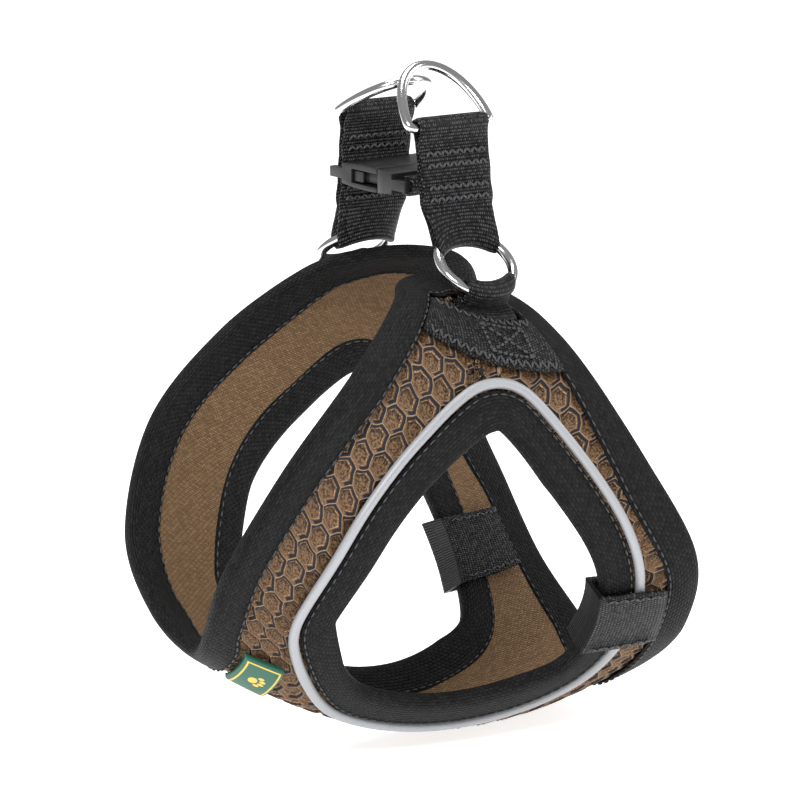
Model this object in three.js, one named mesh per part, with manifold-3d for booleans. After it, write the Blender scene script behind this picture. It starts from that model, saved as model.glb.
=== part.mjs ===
// A small dog's step-in harness vest, closed and standing as if worn.
// Millimetres. X runs from the chest (-) to the tail (+), Y from the dog's left (-) to its right (+), Z up.
// The origin is the middle of the dog's torso.
import * as THREE from "three";
import { mergeVertices } from "three/addons/utils/BufferGeometryUtils.js";
import Module from "manifold-3d";

const wasm = await Module();
wasm.setup();

// ---- Driving dimensions ----
const TORSO = 60; // height of the torso's middle in the measure used for every z below
const GAP = 0.3; // between pieces that touch in the real object
const RUN = 0.6; // round a wire that swings in its webbing
const SLOT = 0.85; // room on each side of a panel inside the fold of a tape

// Three hoops shape the vest: the neck edge, the waist and the rear edge. Each station is [x, y, z],
// from the belly centre line up one side. Here y is outward, so one list serves both sides.
const NECK_LOWER = [[-61, 0, 23], [-65, 12, 30], [-66, 23, 47], [-54, 31, 72]];
const WAIST_LOWER = [[2, 0, -9], [3, 12, 0], [-6, 23, 20], [-10, 33, 46]];
const REAR_LOWER = [[63, 0, -2], [66, 14, 4], [64, 32, 18], [59, 42, 38]];
// The upper stations differ: the left flank curls over the back, the right one stands a little wider.
const NECK_LEFT = [[-35, 30, 92], [-14, 16, 105], [-6, 2, 106], [-2, -12, 104]];
const WAIST_LEFT = [[-1, 33, 73], [6, 25, 92], [9, 5, 103], [10, -12, 104]];
const REAR_LEFT = [[46, 38, 62], [34, 23, 87], [29, 2, 99], [27, -12, 103]];
const NECK_RIGHT = [[-30, 38, 90], [-10, 33, 102], [1, 24, 107], [6, 12, 109]];
const WAIST_RIGHT = [[3, 39, 72], [13, 37, 93], [19, 24, 105], [22, 10, 108]];
const REAR_RIGHT = [[49, 43, 61], [42, 34, 83], [38, 20, 100], [35, 8, 107]];
const TOP = 6.3; // station where a flank ends on the back
const CORNER = { s: 0.85, t: 0.45 }; // rounding of a flank's two upper corners, in stations and shares
// Seam of the leg hole, each point [station, share of the way from neck to rear].
const LEG_HOLE = [
  [4.45, 0.47], [4.5, 0.66], [3.4, 0.87], [1.35, 0.8],
  [0.55, 0.3], [1.65, 0.19], [2.75, 0.25], [3.74, 0.32],
];

const MESH = 1.8; // thickness of the air mesh
const LINING = 0.6; // thickness of the ribbed lining
const TAPE = 0.7; // thickness of the knit binding tape
const EDGE_BINDING = 10; // width of the outer edge's binding
const LEG_BINDING = 9.5; // width of a leg hole's binding
const PIPING = { width: 2.8, height: 1.2 };

const WEB = { width: 20, thick: 1.3 }; // webbing
const GATHERED = 12; // width of webbing where it wraps an O-ring
const WIDENING = 5; // length over which a strap widens from that to its full width
const PATCH = { low: 4.8, high: 5.38 }; // stations of the webbing patch across a flank
const CUFF = { start: 0.289, end: 0.339 }; // stretch of the leg hole under the webbing cuff
const TAB_WIDTH = 13; // width of a ring tab where it is sewn down
const BADGE = { low: 0.3, high: 1.17, length: 13, thick: 1.4 }; // stations it lies between, and its depth

const O_RING = { radius: 9.75, wire: 2.5, lean: 52 }; // radius of the wire's centre line; lean from upright
const D_RING = { half: 11.75, reach: 18, wire: 2.5 };
// Where the hardware stands: x, and outward y and z of the O-ring's centre and of the D-ring's bar.
const LEFT_HARDWARE = { x: 12, ring: [13.5, 111.3], bar: [2, 144], lean: 43 };
const RIGHT_HARDWARE = { x: 9, ring: [37.7, 107.3], bar: [27, 144.5], lean: 60 };
// Stations between which a ring tab is sewn down: above the patch on the left, on the patch on the right.
const LEFT_TAB = { tab: [5.41, 5.54], onPatch: false };
const RIGHT_TAB = { tab: [4.88, 5.22], onPatch: true };

const BUCKLE = { width: 25.4, thick: 6.6, camber: 1.2, bar: 1.3, level: 129.5 };
const SOCKET = { start: 3.6, end: 18, wall: 1.5 };
const PLUG = { start: 18.4, end: 24, bar: 27.8 };
const PRONG = { tip: 8.2, root: 18.9, thick: 2, height: 2.6, head: 3.6, round: 1 };
const SQUEEZE = 1.6; // how far inward the plug leaves each prong room to move
const TONGUE = 5; // width of the plug's middle guide

// ---- Layers, as heights above the inner face of the mesh ----
const LINING_TOP = -GAP;
const LINING_BASE = LINING_TOP - LINING;
const LIP_OUT = MESH + SLOT;
const LIP_IN = -SLOT;
const BINDING_TOP = LIP_OUT + TAPE;
const BINDING_BASE = LIP_IN - TAPE;
const PATCH_TOP = LIP_OUT + WEB.thick;
const CUFF_BASE = LIP_OUT + PIPING.height + GAP;

const radians = THREE.MathUtils.degToRad;
const V = (x, y, z) => new THREE.Vector3(x, y, z);

// ---- The vest's surface ----
const GHOSTS = 2; // stations past the belly centre line, which make a hoop cross it level
function hoop(lower, upper) {
  const up = [...lower, ...upper].map((p) => V(...p));
  const past = [up[2], up[1]].map((p) => V(p.x, -p.y, p.z));
  return new THREE.CatmullRomCurve3([...past, ...up], false, "catmullrom", 0.5);
}
const LEFT = {
  hoops: [hoop(NECK_LOWER, NECK_LEFT), hoop(WAIST_LOWER, WAIST_LEFT), hoop(REAR_LOWER, REAR_LEFT)],
  turn: -1,
  ...LEFT_HARDWARE,
  ...LEFT_TAB,
};
const RIGHT = {
  hoops: [hoop(NECK_LOWER, NECK_RIGHT), hoop(WAIST_LOWER, WAIST_RIGHT), hoop(REAR_LOWER, REAR_RIGHT)],
  turn: 1,
  ...RIGHT_HARDWARE,
  ...RIGHT_TAB,
};

// The point at station s and share t of the way from neck to rear, on a parabola through the hoops.
function surface(side, s, t) {
  const at = (curve) => curve.getPoint((s + GHOSTS) / (curve.points.length - 1));
  const [neck, waist, rear] = side.hoops.map(at);
  return neck.multiplyScalar((1 - t) * (1 - 2 * t))
    .addScaledVector(waist, 4 * t * (1 - t))
    .addScaledVector(rear, t * (2 * t - 1));
}
const STEP = 1e-3;
function frameAt(side, s, t) {
  const along = surface(side, s + STEP, t).sub(surface(side, s - STEP, t)).divideScalar(2 * STEP);
  const back = surface(side, s, t + STEP).sub(surface(side, s, t - STEP)).divideScalar(2 * STEP);
  return { along, back, out: along.clone().cross(back).normalize() };
}
const skin = (side, s, t, h) => surface(side, s, t).addScaledVector(frameAt(side, s, t).out, h);

// A flank's outline as a path from the chest up the neck edge, over the back and down the rear edge.
const SCALE = { s: 22, t: 100 }; // rough millimetres in a station and in a full share
const BELLY = GAP / SCALE.s;
const ROUNDED = { wide: CORNER.t * SCALE.t, high: CORNER.s * SCALE.s };
const SHOULDER = (TOP - CORNER.s) * SCALE.s; // where the rounded corners start
const outline = new THREE.Path()
  .moveTo(0, BELLY * SCALE.s)
  .lineTo(0, SHOULDER)
  .absellipse(ROUNDED.wide, SHOULDER, ROUNDED.wide, ROUNDED.high, Math.PI, Math.PI / 2, true)
  .lineTo((1 - CORNER.t) * SCALE.t, TOP * SCALE.s)
  .absellipse(SCALE.t - ROUNDED.wide, SHOULDER, ROUNDED.wide, ROUNDED.high, Math.PI / 2, 0, true)
  .lineTo(SCALE.t, BELLY * SCALE.s);
const edge = (u) => {
  const p = outline.getPoint(THREE.MathUtils.clamp(u, 0, 1));
  return { s: p.y / SCALE.s, t: p.x / SCALE.t };
};
const seamPoints = LEG_HOLE.map(([s, t]) => V(s * SCALE.s, t * SCALE.t, 0));
const seam = new THREE.CatmullRomCurve3(seamPoints, true);
const hole = (u) => {
  const p = seam.getPoint(((u % 1) + 1) % 1);
  return { s: p.x / SCALE.s, t: p.y / SCALE.t };
};

// The point w millimetres across the surface from a line: inward from the edge, or into the leg hole.
function inset(side, line, u, w) {
  const p = line(u);
  const before = line(u - STEP);
  const after = line(u + STEP);
  const f = frameAt(side, p.s, p.t);
  const run = f.along.clone().multiplyScalar(after.s - before.s).addScaledVector(f.back, after.t - before.t);
  const across = f.out.clone().cross(run).normalize();
  const aa = f.along.dot(f.along);
  const ab = f.along.dot(f.back);
  const bb = f.back.dot(f.back);
  const ra = across.dot(f.along);
  const rb = across.dot(f.back);
  const det = aa * bb - ab * ab;
  return { s: p.s + (w * (ra * bb - rb * ab)) / det, t: p.t + (w * (rb * aa - ra * ab)) / det };
}

// ---- Geometry helpers ----
function bend(geometry, place) {
  const p = geometry.attributes.position;
  for (let i = 0; i < p.count; i++) {
    p.setXYZ(i, ...place(p.getX(i), p.getY(i), p.getZ(i)).toArray());
  }
  geometry.computeVertexNormals();
  return geometry;
}
// A closed profile of [w, h] swept along a line from u = 0 to 1.
function strip(profile, steps, place) {
  const shape = new THREE.Shape(profile.map(([w, h]) => new THREE.Vector2(w, h)));
  return bend(new THREE.ExtrudeGeometry(shape, { depth: 1, steps, bevelEnabled: false }), place);
}
// The same swept round a closed line.
const CORE = 100; // keeps the profile clear of the lathe's axis
function loop(profile, steps, place) {
  const points = [...profile, profile[0]].map(([w, h]) => new THREE.Vector2(w + CORE, h));
  const lathe = new THREE.LatheGeometry(points, steps);
  const turns = (x, z) => {
    const share = 1 - Math.atan2(x, z) / (2 * Math.PI);
    return share - Math.floor(share + 1e-9);
  };
  return bend(lathe, (x, y, z) => place(Math.hypot(x, z) - CORE, y, turns(x, z)));
}
function solid(geometry) {
  const g = geometry.clone();
  g.deleteAttribute("normal");
  g.deleteAttribute("uv");
  const merged = mergeVertices(g, 1e-4);
  const vertProperties = merged.attributes.position.array;
  const triVerts = new Uint32Array(merged.index.array);
  return new wasm.Manifold(new wasm.Mesh({ numProp: 3, vertProperties, triVerts }));
}
function geometryOf(manifold) {
  const m = manifold.getMesh();
  const g = new THREE.BufferGeometry();
  g.setAttribute("position", new THREE.BufferAttribute(m.vertProperties, 3));
  g.setIndex(new THREE.BufferAttribute(m.triVerts, 1));
  g.computeVertexNormals();
  return g;
}
const union = (...list) => list.map(solid).reduce((a, b) => a.add(b));
const cutFrom = (body, ...tools) => tools.map(solid).reduce((a, b) => a.subtract(b), body);
// A rod or a bore along X, and a box given by its limits.
const SEGMENTS = 20;
const rod = (radius, length, x, y, z) =>
  new THREE.CylinderGeometry(radius, radius, length, SEGMENTS).rotateZ(Math.PI / 2).translate(x, y, z);
const block = (x0, x1, y0, y1, z0, z1) =>
  new THREE.BoxGeometry(x1 - x0, y1 - y0, z1 - z0).translate((x0 + x1) / 2, (y0 + y1) / 2, (z0 + z1) / 2);

// ---- Materials ----
const finish = (color, roughness, metalness) => () =>
  new THREE.MeshStandardMaterial({ color, roughness, metalness });
const airMesh = finish(0x9a7448, 0.9, 0);
const knit = finish(0x7d5f3a, 0.85, 0);
const tape = finish(0x161616, 0.9, 0);
const webbing = finish(0x121212, 0.7, 0);
const reflective = finish(0xb9bcbe, 0.45, 0);
const steel = finish(0xc8c8ca, 0.2, 1);
const plastic = finish(0x101010, 0.4, 0);
const rubber = finish(0x1c5a3f, 0.6, 0);

const vest = new THREE.Group();
function add(side, name, geometry, material) {
  const mesh = new THREE.Mesh(geometry, material());
  mesh.name = name;
  mesh.scale.y = side ? side.turn : 1;
  mesh.position.z = -TORSO;
  vest.add(mesh);
}

// ---- Panels: a sheet between the outer edge and the leg hole ----
const IN_FOLD = TAPE + SLOT; // the mesh reaches into the fold of its binding
const BESIDE = 5 * GAP; // the lining ends beside the binding
const ROUND = 54; // steps along the bound edge
const ROUND_LEG = 40; // steps round a leg hole
const ALONG_BELLY = 10;
const ALONG_CUFF = 5;
// One line round the flank, w millimetres in from the edge and closed along the belly.
function rimLine(side, w, atBelly) {
  const line = [];
  for (let i = 0; i <= ROUND; i++) line.push(inset(side, edge, i / ROUND, w));
  line[0].s = atBelly;
  line[ROUND].s = atBelly;
  for (let i = 1; i < ALONG_BELLY; i++) {
    line.push({ s: atBelly, t: THREE.MathUtils.lerp(line[ROUND].t, line[0].t, i / ALONG_BELLY) });
  }
  return line;
}
const FINE = 240; // steps of a line that is searched
const MIDDLE = { s: 2.7, t: 0.53 }; // inside the leg hole
const bearing = (p) => Math.atan2((p.s - MIDDLE.s) * SCALE.s, (p.t - MIDDLE.t) * SCALE.t);
const mix = (a, b, share) => ({
  s: THREE.MathUtils.lerp(a.s, b.s, share),
  t: THREE.MathUtils.lerp(a.t, b.t, share),
});
// The line w millimetres into the leg hole from its seam, at the bearings of another line's points.
function holeLine(side, w, like) {
  const fine = [];
  for (let i = 0; i < FINE; i++) fine.push(inset(side, hole, i / FINE, w));
  return like.map((p) => {
    const off = fine.map((q) => bearing(q) - bearing(p));
    const after = (k) => (k + 1) % off.length;
    const i = off.findIndex((d, k) => Math.cos(d) > 0 && Math.sin(d) >= 0 && Math.sin(off[after(k)]) < 0);
    const before = Math.sin(off[i]);
    return mix(fine[i], fine[after(i)], before / (before - Math.sin(off[after(i)])));
  });
}
// Six lines from the edge to the leg hole: in the fold, beside the binding, two between, beside the leg
// binding and in its fold.
function panelLines(side) {
  const outer = rimLine(side, IN_FOLD, BELLY);
  const lip = rimLine(side, EDGE_BINDING + BESIDE, BELLY + 0.03);
  const seamSide = holeLine(side, -BESIDE, lip);
  const between = (share) => lip.map((p, i) => mix(p, seamSide[i], share));
  return [outer, lip, between(0.33), between(0.67), seamSide, holeLine(side, LEG_BINDING - IN_FOLD, lip)];
}
function panel(side, lines, base, top) {
  const rows = lines.map((_, i) => i);
  const profile = [...rows.map((v) => [v, base]), ...rows.toReversed().map((v) => [v, top])];
  const count = lines[0].length;
  return loop(profile, count, (v, h, u) => {
    const p = lines[Math.round(v)][Math.round(u * count) % count];
    return skin(side, p.s, p.t, h);
  });
}
// Splits each of a lathe's four-sided faces along the other diagonal, to match the face it lies against.
function otherDiagonal(geometry) {
  const index = geometry.index.array;
  for (let i = 0; i < index.length; i += 6) {
    const [a, b, d, c] = index.slice(i, i + 4);
    index.set([a, b, c, a, c, d], i);
  }
  return geometry;
}

// ---- Binding: a tape folded round an edge ----
const fold = (width) => [
  [TAPE, BINDING_BASE], [width / 2, BINDING_BASE], [width, BINDING_BASE],
  [width, LIP_IN], [width / 2, LIP_IN], [TAPE, LIP_IN],
  [TAPE, LIP_OUT], [width / 2, LIP_OUT], [width, LIP_OUT],
  [width, BINDING_TOP], [width / 2, BINDING_TOP], [TAPE, BINDING_TOP],
  [0, BINDING_TOP - TAPE], [0, BINDING_BASE + TAPE],
];
const onLine = (side, line) => (w, h, u) => {
  const p = inset(side, line, u, w);
  return skin(side, p.s, p.t, h);
};
// The two shares t at which the inner border of the edge binding crosses station s.
function between(side, s, w) {
  const found = [];
  let last = null;
  for (let i = 0; i <= FINE; i++) {
    const p = inset(side, edge, i / FINE, w);
    if (last && (last.s - s) * (p.s - s) <= 0) {
      found.push(THREE.MathUtils.lerp(last.t, p.t, (s - last.s) / (p.s - last.s || 1)));
    }
    last = p;
  }
  return [found[0], found[found.length - 1]];
}

for (const side of [LEFT, RIGHT]) {
  const tag = side === LEFT ? "left" : "right";
  const lines = panelLines(side);
  add(side, "mesh_" + tag, panel(side, lines, 0, MESH), airMesh);
  const inLining = lines.slice(1, 5);
  add(side, "lining_" + tag, otherDiagonal(panel(side, inLining, LINING_BASE, LINING_TOP)), knit);
  add(side, "edge_binding_" + tag, strip(fold(EDGE_BINDING), ROUND, onLine(side, edge)), tape);
  // The leg binding's profile runs the other way: its fold is at the free edge inside the hole.
  const legFold = fold(LEG_BINDING).map(([w, h]) => [LEG_BINDING - w, h]).toReversed();
  add(side, "leg_binding_" + tag, loop(legFold, ROUND_LEG, onLine(side, hole)), tape);
  const bead = [
    [-GAP, LIP_OUT],
    [-GAP, LIP_OUT + PIPING.height / 2],
    [-GAP - PIPING.width / 2, LIP_OUT + PIPING.height],
    [-GAP - PIPING.width, LIP_OUT],
  ];
  add(side, "leg_piping_" + tag, loop(bead, ROUND_LEG, onLine(side, hole)), reflective);

  // Webbing patch sewn across the top of the flank, ending beside the bindings.
  const patchEnds = (s) => between(side, s, EDGE_BINDING + BESIDE);
  const onPatch = (x, y, z) => {
    const s = THREE.MathUtils.lerp(PATCH.low, PATCH.high, x + 0.5);
    const [t0, t1] = patchEnds(s);
    const h = THREE.MathUtils.lerp(LIP_OUT, PATCH_TOP, z + 0.5);
    return skin(side, s, THREE.MathUtils.lerp(t0, t1, y + 0.5), h);
  };
  add(side, "top_patch_" + tag, bend(new THREE.BoxGeometry(1, 1, 1, 4, 10, 1), onPatch), webbing);

  // Webbing cuff folded round the rear strip beside the leg hole.
  const inner = -2 * GAP - WEB.thick;
  const cuffLow = Math.min(BINDING_BASE, LINING_BASE) - SLOT;
  const cuffHigh = CUFF_BASE + WEB.thick;
  // in millimetres past the leg binding where negative, and in shares of the strip's width elsewhere
  const cuffProfile = [
    [inner, cuffLow - WEB.thick], [0.5, cuffLow - WEB.thick], [1, cuffLow - WEB.thick],
    [1, cuffLow], [0.5, cuffLow], [-2 * GAP, cuffLow],
    [-2 * GAP, CUFF_BASE], [0.5, CUFF_BASE], [1, CUFF_BASE],
    [1, cuffHigh], [0.5, cuffHigh], [inner, cuffHigh],
  ];
  add(side, "leg_cuff_" + tag, strip(cuffProfile, ALONG_CUFF, (w, h, u) => {
    const a = inset(side, hole, THREE.MathUtils.lerp(CUFF.end, CUFF.start, u), LEG_BINDING);
    const b = { s: a.s, t: between(side, a.s, EDGE_BINDING + GAP)[1] };
    const length = surface(side, a.s, a.t).distanceTo(surface(side, b.s, b.t));
    const share = w < 0 ? w / length : w;
    return skin(side, a.s, THREE.MathUtils.lerp(a.t, b.t, share), h);
  }), webbing);

  // ---- Hardware, in the plane across the dog at this side's x ----
  const [ringY, ringZ] = side.ring;
  const lean = radians(O_RING.lean);
  const up = V(0, -Math.sin(lean), Math.cos(lean)); // from the O-ring's centre to its top
  const centre = V(side.x, ringY, ringZ);
  // A wrapped webbing's bore follows the mean of the wire's arc over the gathered width.
  const sag = O_RING.radius - Math.sqrt(O_RING.radius ** 2 - (GATHERED / 2) ** 2);
  const bore = O_RING.wire / 2 + sag / 2 + RUN;
  const low = centre.clone().addScaledVector(up, sag / 2 - O_RING.radius);
  const high = centre.clone().addScaledVector(up, O_RING.radius - sag / 2);
  const oRing = new THREE.TorusGeometry(O_RING.radius, O_RING.wire / 2, 8, 28);
  add(side, "o_ring_" + tag, oRing.rotateX(Math.PI / 2 + lean).translate(...centre.toArray()), steel);

  // Ring tab: sewn down on the patch, then up and round the O-ring's lower side.
  const tabBase = side.onPatch ? PATCH_TOP + SLOT : LIP_OUT;
  const [tabLow, tabHigh] = side.tab;
  const shareAt = (s, x) => {
    let [a, b] = [0, 1];
    for (let i = 0; i < 30; i++) {
      const mid = (a + b) / 2;
      if (surface(side, s, mid).x < x) a = mid;
      else b = mid;
    }
    return a;
  };
  const sewn = bend(new THREE.BoxGeometry(1, 1, 1, 2, 4, 1), (x, y, z) => {
    const s = THREE.MathUtils.lerp(tabLow, tabHigh, x + 0.5);
    const t = shareAt(s, side.x + y * TAB_WIDTH);
    return skin(side, s, t, THREE.MathUtils.lerp(tabBase, tabBase + WEB.thick, z + 0.5));
  });
  const rootAt = tabHigh - 0.08; // the neck to the ring starts a little inside the sewn part
  const root = skin(side, rootAt, shareAt(rootAt, side.x), tabBase + WEB.thick);
  const slab = (from, to, wideFrom, wideTo, thick) => {
    const dir = to.clone().sub(from).normalize();
    const face = V(1, 0, 0).cross(dir).normalize();
    return bend(new THREE.BoxGeometry(1, 1, 1, 2, 4, 1), (x, y, z) => {
      const p = from.clone().lerp(to, y + 0.5);
      p.x += x * THREE.MathUtils.lerp(wideFrom, wideTo, y + 0.5);
      return p.addScaledVector(face, z * thick);
    });
  };
  const neckEnd = low.clone().addScaledVector(root.clone().sub(low).normalize(), bore + WEB.thick / 2);
  const neck = slab(root, neckEnd, GATHERED, GATHERED, 1.5 * WEB.thick);
  const wrap = rod(bore + WEB.thick, GATHERED, side.x, low.y, low.z);
  const ringBore = rod(bore, 2 * GATHERED, side.x, low.y, low.z);
  add(side, "ring_tab_" + tag, geometryOf(cutFrom(union(sewn, neck, wrap), ringBore)), webbing);

  // Strap: doubled webbing round the O-ring below and the D-ring's bar above.
  const bar = V(side.x, ...side.bar);
  const way = bar.clone().sub(high).normalize();
  const barBore = D_RING.wire / 2 + GAP;
  const lowEnd = high.clone().addScaledVector(way, bore + WEB.thick / 2);
  const shoulder = lowEnd.clone().addScaledVector(way, WIDENING);
  const highEnd = bar.clone().addScaledVector(way, -barBore - WEB.thick / 2);
  side.strapAt = high.clone().lerp(bar, (BUCKLE.level - high.z) / (bar.z - high.z));
  side.parts = [
    slab(lowEnd, shoulder, GATHERED, WEB.width, 2 * WEB.thick),
    slab(shoulder, highEnd, WEB.width, WEB.width, 2 * WEB.thick),
    rod(bore + WEB.thick, GATHERED, side.x, high.y, high.z),
    rod(barBore + WEB.thick, WEB.width, side.x, bar.y, bar.z),
  ];
  side.bores = [
    rod(bore, 2 * WEB.width, side.x, high.y, high.z),
    rod(barBore, 2 * WEB.width, side.x, bar.y, bar.z),
  ];

  // D-ring: a straight bar and a bow, leaning inward.
  const halfOval = new THREE.EllipseCurve(0, 0, D_RING.half, D_RING.reach, 0, Math.PI);
  const bow = new THREE.CatmullRomCurve3(halfOval.getPoints(12).map((p) => V(p.x, p.y, 0)));
  const wire = new THREE.Shape().absarc(0, 0, D_RING.wire / 2, 0, 2 * Math.PI);
  const bent = new THREE.ExtrudeGeometry(wire, { steps: 20, curveSegments: 4, extrudePath: bow });
  const straight = rod(D_RING.wire / 2, 2 * D_RING.half + D_RING.wire * 0.8, 0, 0, 0);
  const dRing = geometryOf(union(bent, straight));
  dRing.rotateX(Math.PI / 2 + radians(side.lean)).translate(...bar.toArray());
  add(side, "d_ring_" + tag, dRing, steel);
}

// ---- Badge on the left of the chest, under the neck binding ----
add(LEFT, "badge", bend(new THREE.BoxGeometry(1, 1, 1, 5, 4, 1), (x, y, z) => {
  const s = THREE.MathUtils.lerp(BADGE.low, BADGE.high, x + 0.5);
  const t0 = between(LEFT, s, EDGE_BINDING + 2 * GAP)[0];
  const t = t0 + ((y + 0.5) * BADGE.length) / frameAt(LEFT, s, t0).back.length();
  return skin(LEFT, s, t, THREE.MathUtils.lerp(LIP_OUT, LIP_OUT + BADGE.thick, z + 0.5));
}), rubber);

// ---- Buckle: x across, y from the socket's bar to the plug's bar, z up; then set between the straps ----
const leftStrap = V(LEFT.strapAt.x, -LEFT.strapAt.y, LEFT.strapAt.z);
const rightStrap = RIGHT.strapAt;
const heading = Math.atan2(leftStrap.x - rightStrap.x, rightStrap.y - leftStrap.y);
const setBuckle = (geometry) => geometry.rotateZ(Math.PI + heading).translate(...rightStrap.toArray());
const half = BUCKLE.width / 2;
const ARM = 1.9; // width of the two arms that carry a webbing bar
const middle = PLUG.bar / 2;
const UNDERSIDE = 0.9; // the underside bulges less than the top
// A slice of the buckle's cambered side view, spread across its width.
function shell(from, to) {
  const crown = (y) => BUCKLE.thick / 2 - BUCKLE.camber * ((y - middle) / middle) ** 2;
  const shape = new THREE.Shape();
  const count = 5;
  const at = (i) => THREE.MathUtils.lerp(from, to, i / count);
  shape.moveTo(from, -crown(from) * UNDERSIDE);
  for (let i = 1; i <= count; i++) shape.lineTo(at(i), -crown(at(i)) * UNDERSIDE);
  for (let i = count; i >= 0; i--) shape.lineTo(at(i), crown(at(i)));
  // the shape's x becomes y, its y becomes z and the depth becomes x
  const slice = new THREE.ExtrudeGeometry(shape, { depth: 1, bevelEnabled: false });
  return bend(slice, (y, z, x) => V(THREE.MathUtils.lerp(-half, half, x), y, z));
}
const barRod = (y) => rod(BUCKLE.bar, BUCKLE.width - ARM, 0, y, 0);
// A block on one side of the buckle, k being 1 or -1, from x0 out to x1.
const onSide = (k, x0, x1, ...rest) => (k > 0 ? block(x0, x1, ...rest) : block(-x1, -x0, ...rest));
const sideArms = (...alongY) =>
  [-1, 1].map((k) => onSide(k, half - ARM, half, ...alongY, -BUCKLE.bar, BUCKLE.bar));
const room = PRONG.height + 3 * GAP;
const cavity = half - SOCKET.wall;
// The side windows run out to the mouth, so the prongs' heads pass without being pressed in.
const socket = cutFrom(
  union(shell(SOCKET.start, SOCKET.end), barRod(0), ...sideArms(-BUCKLE.bar, SOCKET.start + 1)),
  block(-cavity, cavity, PRONG.tip - 2, SOCKET.end + 1, -room / 2, room / 2),
  block(-half - 1, half + 1, PRONG.tip - 2 * GAP, SOCKET.end + 1, -room / 2, room / 2));
add(null, "buckle_socket", setBuckle(geometryOf(socket)), plastic);
const prongInner = cavity - GAP - PRONG.thick;
const pivot = PRONG.root + PRONG.round; // a prong's round root sits in the plug
const pocket = [PLUG.start - 1, pivot + PRONG.round + 2 * GAP, -room / 2, room / 2];
const guide = block(-TONGUE / 2, TONGUE / 2, PRONG.tip + 1, PLUG.start + 1, -1, 1);
const plugArms = sideArms(PLUG.end - 1, PLUG.bar + BUCKLE.bar);
const plug = cutFrom(
  union(shell(PLUG.start, PLUG.end), guide, barRod(PLUG.bar), ...plugArms),
  ...[-1, 1].map((k) => onSide(k, prongInner - GAP - SQUEEZE, cavity, ...pocket)));
add(null, "buckle_plug", setBuckle(geometryOf(plug)), plastic);
for (const [k, tag] of [[1, "front"], [-1, "rear"]]) {
  const deep = [-PRONG.height / 2, PRONG.height / 2];
  const blade = onSide(k, prongInner, prongInner + PRONG.thick, PRONG.tip, pivot, ...deep);
  const head = onSide(k, prongInner, half - 2 * GAP, PRONG.tip, PRONG.tip + PRONG.head, ...deep);
  const round = new THREE.CylinderGeometry(PRONG.round, PRONG.round, PRONG.height, 16)
    .rotateX(Math.PI / 2).translate(k * (prongInner + PRONG.thick / 2), pivot, 0);
  add(null, "buckle_prong_" + tag, setBuckle(geometryOf(union(blade, head, round))), plastic);
}
// Webbing keeper that holds the plug's bar.
const keeperBore = BUCKLE.bar + GAP;
const keeperWidth = BUCKLE.width - 2 * ARM - 2 * GAP;
const keeper = cutFrom(
  solid(rod(keeperBore + 1, keeperWidth, 0, PLUG.bar, 0)),
  rod(keeperBore, 2 * keeperWidth, 0, PLUG.bar, 0));
add(null, "plug_keeper", setBuckle(geometryOf(keeper)), webbing);

// ---- Straps, the right one with a bore for the socket's bar ----
for (const side of [LEFT, RIGHT]) {
  const tag = side === LEFT ? "left" : "right";
  const bodies = side.parts;
  const bores = side.bores;
  if (side === RIGHT) {
    const at = side.strapAt;
    const turned = (radius, length) =>
      rod(radius, length, 0, 0, 0).rotateZ(heading).translate(...at.toArray());
    bodies.push(turned(keeperBore + WEB.thick, keeperWidth));
    bores.push(turned(keeperBore, 2 * keeperWidth));
  }
  add(side, "strap_" + tag, geometryOf(cutFrom(union(...bodies), ...bores)), webbing);
}

export default vest;
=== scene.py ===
import math
import bmesh
import bpy
import numpy as np
from mathutils import Matrix, Vector


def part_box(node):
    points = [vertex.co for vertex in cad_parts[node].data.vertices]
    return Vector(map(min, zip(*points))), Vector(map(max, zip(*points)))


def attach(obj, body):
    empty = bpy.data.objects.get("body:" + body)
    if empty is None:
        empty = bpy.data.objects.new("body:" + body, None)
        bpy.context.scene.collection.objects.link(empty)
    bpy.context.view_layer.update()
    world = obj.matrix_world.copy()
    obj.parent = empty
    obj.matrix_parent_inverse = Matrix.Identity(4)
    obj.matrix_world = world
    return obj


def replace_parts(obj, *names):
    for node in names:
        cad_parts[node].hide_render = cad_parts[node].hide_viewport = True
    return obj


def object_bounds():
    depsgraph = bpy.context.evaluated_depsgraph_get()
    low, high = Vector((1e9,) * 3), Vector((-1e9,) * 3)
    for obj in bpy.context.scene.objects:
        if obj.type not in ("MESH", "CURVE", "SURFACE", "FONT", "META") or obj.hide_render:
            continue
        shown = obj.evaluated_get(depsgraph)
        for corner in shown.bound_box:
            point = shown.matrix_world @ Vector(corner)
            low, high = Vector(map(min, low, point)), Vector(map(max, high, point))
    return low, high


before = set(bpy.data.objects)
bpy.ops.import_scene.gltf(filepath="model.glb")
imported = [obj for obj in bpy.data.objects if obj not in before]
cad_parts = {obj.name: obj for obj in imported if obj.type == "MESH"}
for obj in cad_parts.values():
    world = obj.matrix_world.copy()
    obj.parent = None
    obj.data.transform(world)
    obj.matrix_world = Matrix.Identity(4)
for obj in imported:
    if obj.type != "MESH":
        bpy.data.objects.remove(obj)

CAD_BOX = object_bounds()
MM = 0.001

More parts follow.
